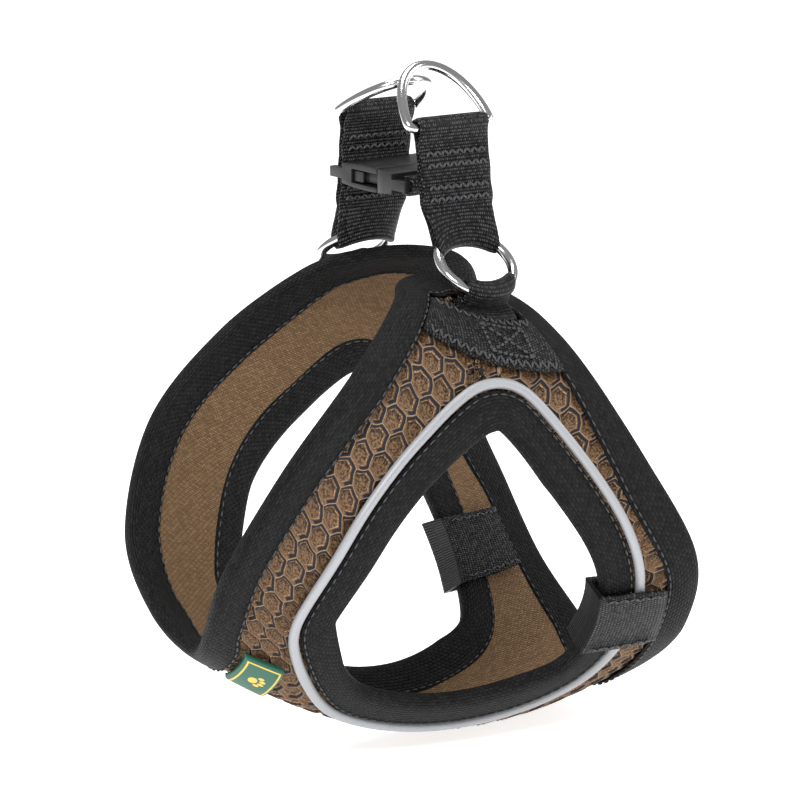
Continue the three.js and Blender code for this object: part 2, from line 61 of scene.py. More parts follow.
# ---- Outer shell ----
# Two flanks of tan three-layer air mesh that meet on the belly. Each is cut with a leg hole, and its
# raised threads stand in a honeycomb over the sunk cells. Knit to shape, then bound at every edge.
TORSO = 60  # height of the torso's middle over the level that z is measured from here
NECK_LOWER = [[-61, 0, 23], [-65, 12, 30], [-66, 23, 47], [-54, 31, 72]]
WAIST_LOWER = [[2, 0, -9], [3, 12, 0], [-6, 23, 20], [-10, 33, 46]]
REAR_LOWER = [[63, 0, -2], [66, 14, 4], [64, 32, 18], [59, 42, 38]]
SIDES = {
    "left": {
        "turn": -1,
        "neck": [[-35, 30, 92], [-14, 16, 105], [-6, 2, 106], [-2, -12, 104]],
        "waist": [[-1, 33, 73], [6, 25, 92], [9, 5, 103], [10, -12, 104]],
        "rear": [[46, 38, 62], [34, 23, 87], [29, 2, 99], [27, -12, 103]],
    },
    "right": {
        "turn": 1,
        "neck": [[-30, 38, 90], [-10, 33, 102], [1, 24, 107], [6, 12, 109]],
        "waist": [[3, 39, 72], [13, 37, 93], [19, 24, 105], [22, 10, 108]],
        "rear": [[49, 43, 61], [42, 34, 83], [38, 20, 100], [35, 8, 107]],
    },
}
TOP = 6.3  # station where a flank ends on the back
CORNER_S, CORNER_T = 0.85, 0.45
SCALE_S, SCALE_T = 22, 100  # rough millimetres in a station and in a full share
BELLY = 0.02 / SCALE_S  # the two halves are sewn together here
LEG_HOLE = [[4.45, 0.47], [4.5, 0.66], [3.4, 0.87], [1.35, 0.8],
            [0.55, 0.3], [1.65, 0.19], [2.75, 0.25], [3.74, 0.32]]
HOLE_MIDDLE = (2.7, 0.53)
MESH_TOP = 1.9  # height of the shell's face over its inner side
CELL = 6.2  # from one cell of the honeycomb to the next
STEP = 1e-3


def uniform_curve(points, at):
    p = np.array(points, float)
    p = np.vstack([2 * p[0] - p[1], p, 2 * p[-1] - p[-2]])
    i = np.clip(np.floor(at).astype(int), 0, len(points) - 2)
    f = (at - i)[:, None]
    a, b, c, d = p[i], p[i + 1], p[i + 2], p[i + 3]
    m, n = 0.5 * (c - a), 0.5 * (d - b)
    return b + m * f + (3 * (c - b) - 2 * m - n) * f**2 + (2 * (b - c) + m + n) * f**3


for side in SIDES.values():
    side["hoops"] = []
    for lower, name in ((NECK_LOWER, "neck"), (WAIST_LOWER, "waist"), (REAR_LOWER, "rear")):
        up = lower + side[name]
        side["hoops"].append([[up[2][0], -up[2][1], up[2][2]], [up[1][0], -up[1][1], up[1][2]]] + up)


def surface(side, s, t):
    """Points of the shell's inner face in millimetres, with y outward."""
    neck, waist, rear = (uniform_curve(h, s + 2) for h in side["hoops"])
    t = t[:, None]
    return neck * (1 - t) * (1 - 2 * t) + waist * 4 * t * (1 - t) + rear * t * (2 * t - 1)


def directions(side, s, t):
    along = (surface(side, s + STEP, t) - surface(side, s - STEP, t)) / (2 * STEP)
    back = (surface(side, s, t + STEP) - surface(side, s, t - STEP)) / (2 * STEP)
    out = np.cross(along, back)
    return along, back, out / np.linalg.norm(out, axis=1)[:, None]


def skin(side, s, t, h):
    """Points h millimetres off the shell's inner face, in metres in the row frame."""
    p = surface(side, s, t) + directions(side, s, t)[2] * np.reshape(h, (-1, 1))
    return settle(side, p)


def run_length(line):
    """How far along a line each of its points lies."""
    return np.concatenate([[0], np.cumsum(np.linalg.norm(np.diff(line, axis=0), axis=1))])


def settle(side, p):
    return (p * [1, side["turn"], 1] - [0, 0, TORSO]) * MM


def outline_points():
    """The cut edge of a flank: up the neck, over the back and down the rear, as rough millimetres."""
    turn = np.linspace(0, np.pi / 2, 40)
    w, h = CORNER_T * SCALE_T, CORNER_S * SCALE_S
    low = (TOP - CORNER_S) * SCALE_S
    first = np.column_stack([w - w * np.cos(turn), low + h * np.sin(turn)])
    last = np.column_stack([SCALE_T - w + w * np.sin(turn), low + h * np.cos(turn)])
    line = np.vstack([[0, BELLY * SCALE_S], first, last, [SCALE_T, BELLY * SCALE_S]])
    length = run_length(line)
    return line, length / length[-1]


OUTLINE, OUTLINE_AT = outline_points()


def edge(u):
    u = np.clip(u, 0, 1)
    return (np.interp(u, OUTLINE_AT, OUTLINE[:, 1]) / SCALE_S,
            np.interp(u, OUTLINE_AT, OUTLINE[:, 0]) / SCALE_T)


def hole(u):
    """The leg hole's seam, a closed curve through its points."""
    p = np.array(LEG_HOLE, float) * [SCALE_S, SCALE_T]
    n = len(p)
    at = np.mod(u, 1) * n
    i = np.floor(at).astype(int) % n
    f = (at - np.floor(at))[:, None]
    a, b, c, d = p[(i - 1) % n], p[i], p[(i + 1) % n], p[(i + 2) % n]
    k0, k1, k2 = (np.linalg.norm(y - x, axis=1)[:, None] ** 0.5 for x, y in ((a, b), (b, c), (c, d)))
    m = ((b - a) / k0 - (c - a) / (k0 + k1) + (c - b) / k1) * k1
    q = ((c - b) / k1 - (d - b) / (k1 + k2) + (d - c) / k2) * k1
    r = b + m * f + (3 * (c - b) - 2 * m - q) * f**2 + (2 * (b - c) + m + q) * f**3
    return r[:, 0] / SCALE_S, r[:, 1] / SCALE_T


def inset(side, line, u, w):
    """Stations and shares w millimetres across the surface from a line."""
    s, t = line(u)
    s1, t1 = line(u + STEP)
    s0, t0 = line(u - STEP)
    along, back, out = directions(side, s, t)
    run = along * (s1 - s0)[:, None] + back * (t1 - t0)[:, None]
    across = np.cross(out, run)
    across /= np.linalg.norm(across, axis=1)[:, None]
    aa, ab, bb = (along**2).sum(1), (along * back).sum(1), (back**2).sum(1)
    ra, rb = (across * along).sum(1), (across * back).sum(1)
    det = aa * bb - ab**2
    return s + w * (ra * bb - rb * ab) / det, t + w * (rb * aa - ra * ab) / det


def flat_map(side, s, t):
    """Where a point of the flank lies on its flat cut, in millimetres."""
    if "cut" not in side:
        ss, tt = np.linspace(-0.2, 7, 145), np.linspace(-0.1, 1.1, 121)
        grid = surface(side, np.repeat(ss, 121), np.tile(tt, 145)).reshape(145, 121, 3)
        wide = np.linalg.norm(np.diff(grid, axis=1), axis=2)
        wide = np.concatenate([np.zeros((145, 1)), np.cumsum(wide, axis=1)], axis=1)
        tall = np.linalg.norm(np.diff(grid[:, 60], axis=0), axis=1)
        side["cut"] = wide - wide[:, 60:61], np.concatenate([[0], np.cumsum(tall)])
    wide, tall = side["cut"]
    a = np.clip((s + 0.2) / 0.05, 0, 143.999)
    b = np.clip((t + 0.1) / 0.01, 0, 119.999)
    i, j = a.astype(int), b.astype(int)
    f, g = a - i, b - j
    x = (wide[i, j] * (1 - f) * (1 - g) + wide[i + 1, j] * f * (1 - g)
         + wide[i, j + 1] * (1 - f) * g + wide[i + 1, j + 1] * f * g)
    return np.column_stack([x, tall[i] * (1 - f) + tall[i + 1] * f])


def panel_rows(side, around, across, rim_inset, hole_inset):
    """A grid of stations and shares from the edge's inset line to the leg hole's."""
    belly = around // 6
    s, t = inset(side, edge, np.linspace(0, 1, around - belly + 1), rim_inset)
    s[0] = s[-1] = BELLY
    share = np.linspace(0, 1, belly + 1)[1:]
    s = np.concatenate([s, np.full(belly, BELLY)])
    t = np.concatenate([t, t[-1] + (t[0] - t[-1]) * share])

    def bearing(a, b):
        return np.arctan2((a - HOLE_MIDDLE[0]) * SCALE_S, (b - HOLE_MIDDLE[1]) * SCALE_T)

    hs, ht = inset(side, hole, np.arange(900) / 900, hole_inset)
    order = np.argsort(bearing(hs, ht))
    ring = np.concatenate([order, order, order])
    turns = np.repeat([-2 * np.pi, 0, 2 * np.pi], 900)
    want = bearing(s, t)
    hs2 = np.interp(want, bearing(hs, ht)[ring] + turns, hs[ring])
    ht2 = np.interp(want, bearing(hs, ht)[ring] + turns, ht[ring])
    v = np.linspace(0, 1, across + 1)
    return s[:, None] * (1 - v) + hs2[:, None] * v, t[:, None] * (1 - v) + ht2[:, None] * v


def make_object(name, bm):
    mesh = bpy.data.meshes.new(name)
    for face in bm.faces:
        face.smooth = True
    bm.to_mesh(mesh)
    bm.free()
    obj = bpy.data.objects.new(name, mesh)
    bpy.context.scene.collection.objects.link(obj)
    return obj


def grid_piece(name, points, uv, closed=False, hollow=True):
    """A grid of points made a mesh; closed welds its seams, and a tube's ends are filled."""
    rows, columns = points.shape[:2]
    bm = bmesh.new()
    bmesh.ops.create_grid(bm, x_segments=rows - 1, y_segments=columns - 1, size=1)
    cloth = bm.loops.layers.uv.new("cloth")
    for v in bm.verts:
        i = round((v.co.x + 1) / 2 * (rows - 1))
        j = round((v.co.y + 1) / 2 * (columns - 1))
        v.co = points[i, j]
        for loop in v.link_loops:
            loop[cloth].uv = uv[i, j]
    if closed:
        bmesh.ops.remove_doubles(bm, verts=bm.verts, dist=1e-6)
        if not hollow:
            rims = [e for e in bm.edges if e.is_boundary]
            bmesh.ops.holes_fill(bm, edges=rims, sides=0)
        bmesh.ops.recalc_face_normals(bm, faces=bm.faces)
    return make_object(name, bm)


# The knit's rows wander: each waver shifts a place along one axis by the sine of the other.
WAVERS = ((0.24, 0.63, 0.4), (0.14, 1.31, 2.1))  # reach in millimetres, turns per millimetre, start


def honeycomb(uv):
    """The relief of the air mesh: cells sunk between raised walls, 0 in a cell and 1 on a wall."""
    best = np.full(len(uv), 9.0)
    uv = uv + sum(reach * np.sin(uv[:, ::-1] * rate + start) for reach, rate, start in WAVERS)
    tall = CELL * math.sqrt(3)
    for shift in (0, 0.5):
        x = np.mod(uv[:, 0] / CELL + shift, 1) - 0.5
        y = np.mod(uv[:, 1] / tall + shift, 1) - 0.5
        x, y = np.abs(x), np.abs(y) * math.sqrt(3)
        best = np.minimum(best, np.maximum(x, 0.5 * x + y * math.sqrt(3) / 2))
    rise = np.clip((best - 0.27) / 0.2, 0, 1)
    return rise * rise * (3 - 2 * rise)


def weld(obj):
    """Joins the points that a panel's grid has twice, where its last row meets its first."""
    bm = bmesh.new()
    bm.from_mesh(obj.data)
    bmesh.ops.remove_doubles(bm, verts=bm.verts, dist=1e-6)
    bm.to_mesh(obj.data)
    bm.free()


def outward(obj, side):
    """Turns a one-sided sheet's faces away from the torso."""
    bm = bmesh.new()
    bm.from_mesh(obj.data)
    bm.faces.ensure_lookup_table()
    tally = sum(f.normal.y * (1 if f.calc_center_median().y > 0 else -1) * f.calc_area() for f in bm.faces)
    if tally < 0:
        bmesh.ops.reverse_faces(bm, faces=bm.faces)
    bm.to_mesh(obj.data)
    bm.free()


def thicken(obj, thickness):
    solidify = obj.modifiers.new("thickness", "SOLIDIFY")
    solidify.thickness = thickness * MM
    solidify.offset = -1


def node_tree(name):
    """A new material and a function that adds a node: values set sockets, and sockets are linked."""
    material = bpy.data.materials.new(name)
    material.use_nodes = True
    tree = material.node_tree
    tree.nodes.clear()
    out = tree.nodes.new("ShaderNodeOutputMaterial")
    shader = tree.nodes.new("ShaderNodeBsdfPrincipled")
    tree.links.new(shader.outputs["BSDF"], out.inputs["Surface"])
    return material, shader, adder(tree)


def adder(tree):
    def put(kind, inputs=None, **options):
        node = tree.nodes.new("ShaderNode" + kind)
        for key, value in options.items():
            setattr(node, key, value)
        for key, value in (inputs or {}).items():
            if isinstance(value, bpy.types.NodeSocket):
                tree.links.new(value, node.inputs[key])
            else:
                node.inputs[key].default_value = value
        return node

    put.math = lambda op, a, b=0.0, c=0.0: put("Math", {0: a, 1: b, 2: c}, operation=op).outputs[0]
    put.ramp = lambda value, low, high: put("MapRange", {"Value": value, "From Min": low, "From Max": high},
                                            interpolation_type="SMOOTHSTEP").outputs["Result"]
    put.mix = lambda share, a, b: put("Mix", {0: share, 6: a, 7: b}, data_type="RGBA").outputs[2]
    put.join = lambda socket, target: tree.links.new(socket, target)
    return put


def new_group(name, inputs, outputs):
    """A node group with named sockets: inputs is a dict of defaults, outputs a list of names."""
    group = bpy.data.node_groups.new(name, "ShaderNodeTree")
    for key, value in inputs.items():
        kind = "NodeSocketVector" if value is None else "NodeSocketFloat"
        socket = group.interface.new_socket(key, in_out="INPUT", socket_type=kind)
        if value is not None:
            socket.default_value = value
    for key in outputs:
        group.interface.new_socket(key, in_out="OUTPUT", socket_type="NodeSocketFloat")
    put = adder(group)
    return group, put, group.nodes.new("NodeGroupInput"), group.nodes.new("NodeGroupOutput")


def use_group(put, group, **inputs):
    node = put("Group", node_tree=group)
    for key, value in inputs.items():
        if isinstance(value, bpy.types.NodeSocket):
            put.join(value, node.inputs[key])
        else:
            node.inputs[key].default_value = value
    return node


def weave_group():
    """Staggered thread floats: Height over the floats, Shade by thread, both from 0 to 1."""
    group, put, given, result = new_group("thread_floats", {"Place": None, "Long": 1.0, "Wide": 0.5},
                                          ["Height", "Shade"])
    split = put("SeparateXYZ", {0: given.outputs["Place"]})
    row = put.math("DIVIDE", split.outputs[1], given.outputs["Wide"])
    odd = put.math("MODULO", put.math("FLOOR", row), 2.0)
    column = put.math("ADD", put.math("DIVIDE", split.outputs[0], given.outputs["Long"]),
                      put.math("MULTIPLY", odd, 0.5))
    across = put.math("ABSOLUTE", put.math("SINE", put.math("MULTIPLY", row, math.pi)))
    along = put.math("ABSOLUTE", put.math("SINE", put.math("MULTIPLY", column, math.pi)))
    height = put.math("MULTIPLY", put.math("POWER", across, 0.6), put.math("POWER", along, 0.5))
    whole = put("CombineXYZ", {0: put.math("FLOOR", column), 1: put.math("FLOOR", row)})
    noise = put("TexWhiteNoise", {"Vector": whole.outputs[0]}, noise_dimensions="3D")
    put.join(height, result.inputs["Height"])
    put.join(noise.outputs["Value"], result.inputs["Shade"])
    return group


THREADS = weave_group()


def cell_group():
    """The air mesh's knit: Edge is the distance from a cell's middle, Turn the angle round it."""
    group, put, given, result = new_group("honeycomb_knit", {"Place": None, "Pitch": CELL}, ["Edge", "Turn"])
    split = put("SeparateXYZ", {0: given.outputs["Place"]})
    found = []
    for shift in (0.0, 0.5):
        x = put.math("DIVIDE", split.outputs[0], given.outputs["Pitch"])
        y = put.math("DIVIDE", put.math("DIVIDE", split.outputs[1], given.outputs["Pitch"]), math.sqrt(3))
        x = put.math("SUBTRACT", put.math("FLOORED_MODULO", put.math("ADD", x, shift), 1.0), 0.5)
        y = put.math("SUBTRACT", put.math("FLOORED_MODULO", put.math("ADD", y, shift), 1.0), 0.5)
        y = put.math("MULTIPLY", y, math.sqrt(3))
        slant = put.math("ADD", put.math("MULTIPLY", put.math("ABSOLUTE", x), 0.5),
                         put.math("MULTIPLY", put.math("ABSOLUTE", y), math.sqrt(3) / 2))
        found.append((put.math("MAXIMUM", put.math("ABSOLUTE", x), slant), put.math("ARCTAN2", y, x)))
    (d0, a0), (d1, a1) = found
    second = put.math("LESS_THAN", d1, d0)
    put.join(put.math("MINIMUM", d0, d1), result.inputs["Edge"])
    first = put.math("MULTIPLY", a0, put.math("SUBTRACT", 1.0, second))
    put.join(put.math("ADD", first, put.math("MULTIPLY", a1, second)), result.inputs["Turn"])
    return group


CELLS = cell_group()


def air_mesh_material():
    material, shader, put = node_tree("air_mesh")
    uv = put("UVMap", uv_map="cloth").outputs[0]
    split = put("SeparateXYZ", {0: uv})
    swapped = put("CombineXYZ", {0: split.outputs[1], 1: split.outputs[0]}).outputs[0]
    place = uv
    for reach, rate, start in WAVERS:
        turn = put("VectorMath", {0: swapped, 1: (rate,) * 3, 2: (start,) * 3}, operation="MULTIPLY_ADD")
        wave = put("VectorMath", {0: turn.outputs[0]}, operation="SINE").outputs[0]
        place = put("VectorMath", {0: wave, 1: (reach,) * 3, 2: place}, operation="MULTIPLY_ADD").outputs[0]
    cell = use_group(put, CELLS, Place=place, Pitch=CELL)
    edge_at, turn = cell.outputs["Edge"], cell.outputs["Turn"]
    fuzz = put("TexNoise", {"Vector": uv, "Scale": 1.7, "Detail": 2.0, "Roughness": 0.7}).outputs["Fac"]
    strand = put("TexNoise", {"Vector": uv, "Scale": 1.9, "Detail": 4.0, "Roughness": 0.6}).outputs["Fac"]
    # dark thread hugs the upper and right sides of a cell, and pale thread runs all round it
    facing = put.math("COSINE", put.math("SUBTRACT", turn, 0.75))
    dark_side = put.ramp(facing, -0.6, -0.4)
    inner = put.ramp(edge_at, 0.37, 0.395)
    outer = put.ramp(edge_at, 0.482, 0.468)
    band = put.math("MULTIPLY", put.math("MULTIPLY", inner, outer), dark_side)
    pale = put.math("MULTIPLY", put.ramp(edge_at, 0.478, 0.49), 0.5)
    rim = put.math("MULTIPLY", put.ramp(edge_at, 0.315, 0.335), put.ramp(edge_at, 0.365, 0.35))
    rim = put.math("MULTIPLY", rim, put.ramp(fuzz, 0.4, 0.55))
    pale = put.math("MAXIMUM", pale, rim)
    # painted shade: each sunk cell's upper part is darkened in the colour towards its wall, and the pit's
    # colour mixes this painted shade with the real fibre stipple
    painted_pit_shade = put.math("MULTIPLY", put.ramp(put.math("SINE", turn), -0.5, 0.9), put.ramp(edge_at, 0.1, 0.34))
    stipple_and_shade = put.math("ADD", put.math("MULTIPLY", put.ramp(fuzz, 0.4, 0.6), 0.85),
                       put.math("MULTIPLY", painted_pit_shade, 0.65))
    pit = put.mix(stipple_and_shade, (0.22, 0.125, 0.062, 1), (0.02, 0.01, 0.004, 1))
    wall = put.mix(put.ramp(strand, 0.35, 0.65), (0.09, 0.05, 0.025, 1), (0.24, 0.14, 0.075, 1))
    colour = put.mix(put.ramp(edge_at, 0.33, 0.37), pit, wall)
    colour = put.mix(put.math("MULTIPLY", pale, put.math("ADD", 0.55, strand)), colour, (0.5, 0.31, 0.175, 1))
    colour = put.mix(band, colour, (0.008, 0.01, 0.016, 1))
    put.join(colour, shader.inputs["Base Color"])
    height = put.math("ADD", put.math("MULTIPLY", fuzz, 0.45), put.math("MULTIPLY", pale, 0.6))
    height = put.math("ADD", height, put.math("MULTIPLY", band, 0.5))
    bump = put("Bump", {"Strength": 0.9, "Distance": 0.0005, "Height": height})
    put.join(bump.outputs[0], shader.inputs["Normal"])
    shader.inputs["Roughness"].default_value = 0.65
    shader.inputs["Specular IOR Level"].default_value = 0.3
    return material


AIR_MESH = air_mesh_material()
PIT = 1.05  # how deep a cell is sunk
for tag, side in SIDES.items():
    s, t = panel_rows(side, 620, 52, 7.0, 2.5)
    flat = flat_map(side, s.ravel(), t.ravel())
    h = MESH_TOP - PIT * (1 - honeycomb(flat))
    points = skin(side, s.ravel(), t.ravel(), h).reshape(*s.shape, 3)
    shell = grid_piece("air_mesh_" + tag, points, flat.reshape(*s.shape, 2))
    weld(shell)
    outward(shell, side)
    thicken(shell, 0.7)
    shell.data.materials.append(AIR_MESH)
    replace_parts(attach(shell, "vest"), "mesh_" + tag)
    side["shell"] = shell

# ---- Lining ----
# Fine ribbed knit in tan with a faint metallic thread, sewn in under the air mesh at every edge. It lies
# flat against the shell's inner side. The thread's glitter is painted: scattered bright spots in the colour,
# a little glossier.
def lining_material():
    material, shader, put = node_tree("lining_knit")
    uv = put("UVMap", uv_map="cloth").outputs[0]
    knit = use_group(put, THREADS, Place=uv, Long=1.3, Wide=0.55)
    rough = put("TexNoise", {"Vector": uv, "Scale": 0.35, "Detail": 4.0}).outputs["Fac"]
    # painted glints: small bright spots put into the colour at random points, where the roughness is also
    # lowered a little
    glint = put("TexVoronoi", {"Vector": uv, "Scale": 2.6}, feature="F1")
    painted_sparkle = put.ramp(glint.outputs["Distance"], 0.16, 0.08)
    chance = put("SeparateColor", {0: glint.outputs["Color"]}).outputs[0]
    painted_sparkle = put.math("MULTIPLY", painted_sparkle, put.math("GREATER_THAN", chance, 0.72))
    thread = put.mix(knit.outputs["Shade"], (0.16, 0.095, 0.048, 1), (0.29, 0.18, 0.095, 1))
    colour = put.mix(knit.outputs["Height"], (0.09, 0.05, 0.02, 1), thread)
    colour = put.mix(put.math("MULTIPLY", rough, 0.35), colour, (0.15, 0.085, 0.042, 1))
    colour = put.mix(painted_sparkle, colour, (0.85, 0.62, 0.35, 1))
    put.join(colour, shader.inputs["Base Color"])
    put.join(put.math("SUBTRACT", 0.75, put.math("MULTIPLY", painted_sparkle, 0.5)), shader.inputs["Roughness"])
    bump = put("Bump", {"Strength": 0.7, "Distance": 0.0003, "Height": knit.outputs["Height"]})
    put.join(bump.outputs[0], shader.inputs["Normal"])
    shader.inputs["Specular IOR Level"].default_value = 0.25
    return material


LINING = lining_material()
for tag, side in SIDES.items():
    s, t = panel_rows(side, 300, 16, 6.0, 4.0)
    flat = flat_map(side, s.ravel(), t.ravel())
    ripple = 0.12 * np.sin(flat[:, 0] / 5.3 + 1) * np.sin(flat[:, 1] / 7.1)
    points = skin(side, s.ravel(), t.ravel(), -0.45 + ripple).reshape(*s.shape, 3)
    lining = grid_piece("lining_knit_" + tag, points, flat.reshape(*s.shape, 2))
    weld(lining)
    outward(lining, side)
    thicken(lining, 0.4)
    lining.data.materials.append(LINING)
    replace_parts(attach(lining, "vest"), "lining_" + tag)
    side["lining"] = lining

# ---- Binding tapes ----
# Black knit elastic folded over the cut edges: one length round each flank and one round each leg hole,
# with a plump fold and a row of straight stitches through both lips.
def tape_material():
    material, shader, put = node_tree("binding_knit")
    uv = put("UVMap", uv_map="cloth").outputs[0]
    knit = use_group(put, THREADS, Place=uv, Long=1.5, Wide=0.8)
    fluff = put("TexNoise", {"Vector": uv, "Scale": 2.2, "Detail": 5.0, "Roughness": 0.75}).outputs["Fac"]
    thread = put.mix(knit.outputs["Shade"], (0.003, 0.003, 0.003, 1), (0.016, 0.016, 0.017, 1))
    colour = put.mix(knit.outputs["Height"], (0.002, 0.002, 0.002, 1), thread)
    colour = put.mix(put.ramp(fluff, 0.56, 0.8), colour, (0.03, 0.03, 0.032, 1))
    put.join(colour, shader.inputs["Base Color"])
    height = put.math("ADD", knit.outputs["Height"], put.math("MULTIPLY", fluff, 0.5))
    bump = put("Bump", {"Strength": 0.9, "Distance": 0.0004, "Height": height})
    put.join(bump.outputs[0], shader.inputs["Normal"])
    shader.inputs["Roughness"].default_value = 0.6
    shader.inputs["Specular IOR Level"].default_value = 0.16
    return material


TAPE = tape_material()


def rounded(profile, count, soft):
    """A closed profile resampled evenly, with its corners eased."""
    p = np.array(profile + profile[:1], float)
    length = run_length(p)
    at = np.linspace(0, length[-1], count, endpoint=False)
    line = np.column_stack([np.interp(at, length, p[:, k]) for k in (0, 1)])
    for _ in range(soft):
        line = (np.roll(line, 1, 0) + 2 * line + np.roll(line, -1, 0)) / 4
    return np.vstack([line, line[:1]]), np.append(at, length[-1])


def tape_on_line(name, side, line, profile, steps, looped, soft=2, count=44):
    """Sweeps a profile of [inset, height] along an edge or round a leg hole."""
    section, round_it = rounded(profile, count, soft)
    u = np.linspace(0, 1, steps + 1)
    points = np.empty((steps + 1, count + 1, 3))
    for j, (w, h) in enumerate(section):
        s, t = inset(side, line, u, w)
        points[:, j] = skin(side, s, t, h)
    middle = points.mean(1)
    far = run_length(middle) / MM
    uv = np.stack(np.broadcast_arrays(far[:, None], round_it[None]), axis=2)
    if looped:
        points[-1] = points[0]
    return grid_piece(name, points, uv, closed=True, hollow=looped)


def fold_profile(width, flip=False):
    """A tape folded over an edge at inset 0; its lips lie at the width, outside and inside."""
    p = [[width, -1.0], [width * 0.5, -1.35], [1.6, -1.45], [0.2, -0.8], [0, 1.0], [0.2, 2.6], [1.6, 3.3],
         [width * 0.5, 3.25], [width, 2.7], [width, 2.1], [width * 0.5, 2.2], [1.4, 1.95],
         [1.4, -0.25], [width, -0.3]]
    return [[width - w if flip else w, h] for w, h in p]


EDGE_WIDTH, LEG_WIDTH = 10, 9.5
for tag, side in SIDES.items():
    side["edge_tape"] = tape_on_line("edge_tape_" + tag, side, edge, fold_profile(EDGE_WIDTH), 300, False)
    side["leg_tape"] = tape_on_line("leg_tape_" + tag, side, hole, fold_profile(LEG_WIDTH, True), 220, True)
    for name, node in (("edge_tape", "edge_binding_"), ("leg_tape", "leg_binding_")):
        side[name].data.materials.append(TAPE)
        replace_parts(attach(side[name], "vest"), node + tag)


def thread_material():
    material, shader, put = node_tree("black_thread")
    place = put("TexCoord").outputs["Object"]
    twist = put("TexNoise", {"Vector": place, "Scale": 2500.0, "Detail": 2.0}).outputs["Fac"]
    put.join(put.mix(twist, (0.006, 0.006, 0.0065, 1), (0.07, 0.07, 0.075, 1)), shader.inputs["Base Color"])
    bump = put("Bump", {"Strength": 0.5, "Distance": 0.0001, "Height": twist})
    put.join(bump.outputs[0], shader.inputs["Normal"])
    shader.inputs["Roughness"].default_value = 0.42
    return material


THREAD = thread_material()


def stitch_piece(name, stitches, body, thick=0.32):
    """Stitches as short plump threads from point to point, each raised in the middle."""
    bm = bmesh.new()
    for a, b in stitches:
        a, b = Vector(a), Vector(b)
        length = (b - a).length
        turn = (b - a).to_track_quat("X", "Z").to_matrix().to_4x4()
        size = Matrix.Diagonal((length * 0.56, thick * MM, thick * MM, 1))
        bmesh.ops.create_icosphere(bm, subdivisions=1, radius=1,
                                   matrix=Matrix.Translation((a + b) / 2) @ turn @ size)
    obj = make_object(name, bm)
    obj.data.materials.append(THREAD)
    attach(obj, body)
    return obj


def straight_row(side, line, inset_by, height, pitch, start=0.0, end=1.0):
    """Straight stitches along a line of the shell, as pairs of points."""
    u = np.linspace(start, end, 800)
    s, t = inset(side, line, u, inset_by)
    p = skin(side, s, t, height)
    far = run_length(p) / MM
    ends = np.arange(0, far[-1] - pitch, pitch)
    first = np.column_stack([np.interp(ends, far, p[:, k]) for k in range(3)])
    last = np.column_stack([np.interp(ends + pitch * 0.74, far, p[:, k]) for k in range(3)])
    return list(zip(first, last))


for tag, side in SIDES.items():
    rows = straight_row(side, edge, EDGE_WIDTH - 1.3, 2.95, 2.6)
    rows += straight_row(side, edge, EDGE_WIDTH - 1.3, -1.2, 2.6)
    rows += straight_row(side, hole, 1.3, 2.95, 2.6)
    rows += straight_row(side, hole, 1.3, -1.2, 2.6)
    side["seams"] = stitch_piece("binding_stitches_" + tag, rows, "vest", 0.26)

# ---- Reflective piping ----
# A round cord in silver-grey glass-bead fabric, caught in the seam between the shell and each leg hole's
# binding.
def piping_material():
    material, shader, put = node_tree("reflective_piping")
    uv = put("UVMap", uv_map="cloth").outputs[0]
    beads = put("TexNoise", {"Vector": uv, "Scale": 3.0, "Detail": 3.0, "Roughness": 0.8}).outputs["Fac"]
    broad = put("TexNoise", {"Vector": uv, "Scale": 0.12, "Detail": 2.0}).outputs["Fac"]
    colour = put.mix(beads, (0.22, 0.225, 0.24, 1), (0.5, 0.51, 0.53, 1))
    colour = put.mix(put.math("MULTIPLY", broad, 0.3), colour, (0.3, 0.31, 0.33, 1))
    put.join(colour, shader.inputs["Base Color"])
    bump = put("Bump", {"Strength": 0.35, "Distance": 0.0002, "Height": beads})
    put.join(bump.outputs[0], shader.inputs["Normal"])
    shader.inputs["Roughness"].default_value = 0.45
    shader.inputs["Metallic"].default_value = 0.25
    return material


PIPING = piping_material()
for tag, side in SIDES.items():
    bead = [[0.1, 2.0], [0.0, 2.9], [-0.4, 3.6], [-1.3, 3.85], [-2.2, 3.5], [-2.6, 2.7], [-2.6, 2.0]]
    piping = tape_on_line("piping_" + tag, side, hole, bead, 220, True, soft=2, count=20)
    piping.data.materials.append(PIPING)
    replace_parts(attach(piping, "vest"), "leg_piping_" + tag)
    side["piping"] = piping

# ---- Webbing patches and cuffs ----
# Black woven polyester webbing: a patch across the top of each flank and a cuff folded round the strip
# behind each leg hole. Zigzag stitches close the long edges, and a crossed box holds the ring's tab.
def webbing_material():
    material, shader, put = node_tree("webbing")
    uv = put("UVMap", uv_map="cloth").outputs[0]
    split = put("SeparateXYZ", {0: uv})
    turned = put("CombineXYZ", {0: split.outputs[1], 1: split.outputs[0]}).outputs[0]
    weave = use_group(put, THREADS, Place=turned, Long=0.62, Wide=0.88)
    worn = put("TexNoise", {"Vector": uv, "Scale": 0.5, "Detail": 4.0, "Roughness": 0.6}).outputs["Fac"]
    thread = put.mix(weave.outputs["Shade"], (0.004, 0.004, 0.0045, 1), (0.02, 0.02, 0.022, 1))
    colour = put.mix(weave.outputs["Height"], (0.001, 0.001, 0.001, 1), thread)
    colour = put.mix(put.math("MULTIPLY", put.ramp(worn, 0.5, 0.75), 0.4), colour, (0.03, 0.03, 0.033, 1))
    glint = put.math("MULTIPLY", put.ramp(weave.outputs["Height"], 0.6, 0.9),
                     put.ramp(weave.outputs["Shade"], 0.15, 0.8))
    colour = put.mix(put.math("MULTIPLY", glint, 0.85), colour, (0.08, 0.08, 0.085, 1))
    put.join(colour, shader.inputs["Base Color"])
    bump = put("Bump", {"Strength": 1.0, "Distance": 0.0006, "Height": weave.outputs["Height"]})
    put.join(bump.outputs[0], shader.inputs["Normal"])
    shader.inputs["Roughness"].default_value = 0.4
    shader.inputs["Specular IOR Level"].default_value = 0.25
    return material


WEBBING = webbing_material()
PATCH_LOW, PATCH_HIGH = 4.8, 5.38
TAPE_EDGE = 9.2  # a patch's ends are tucked under the edge binding from here


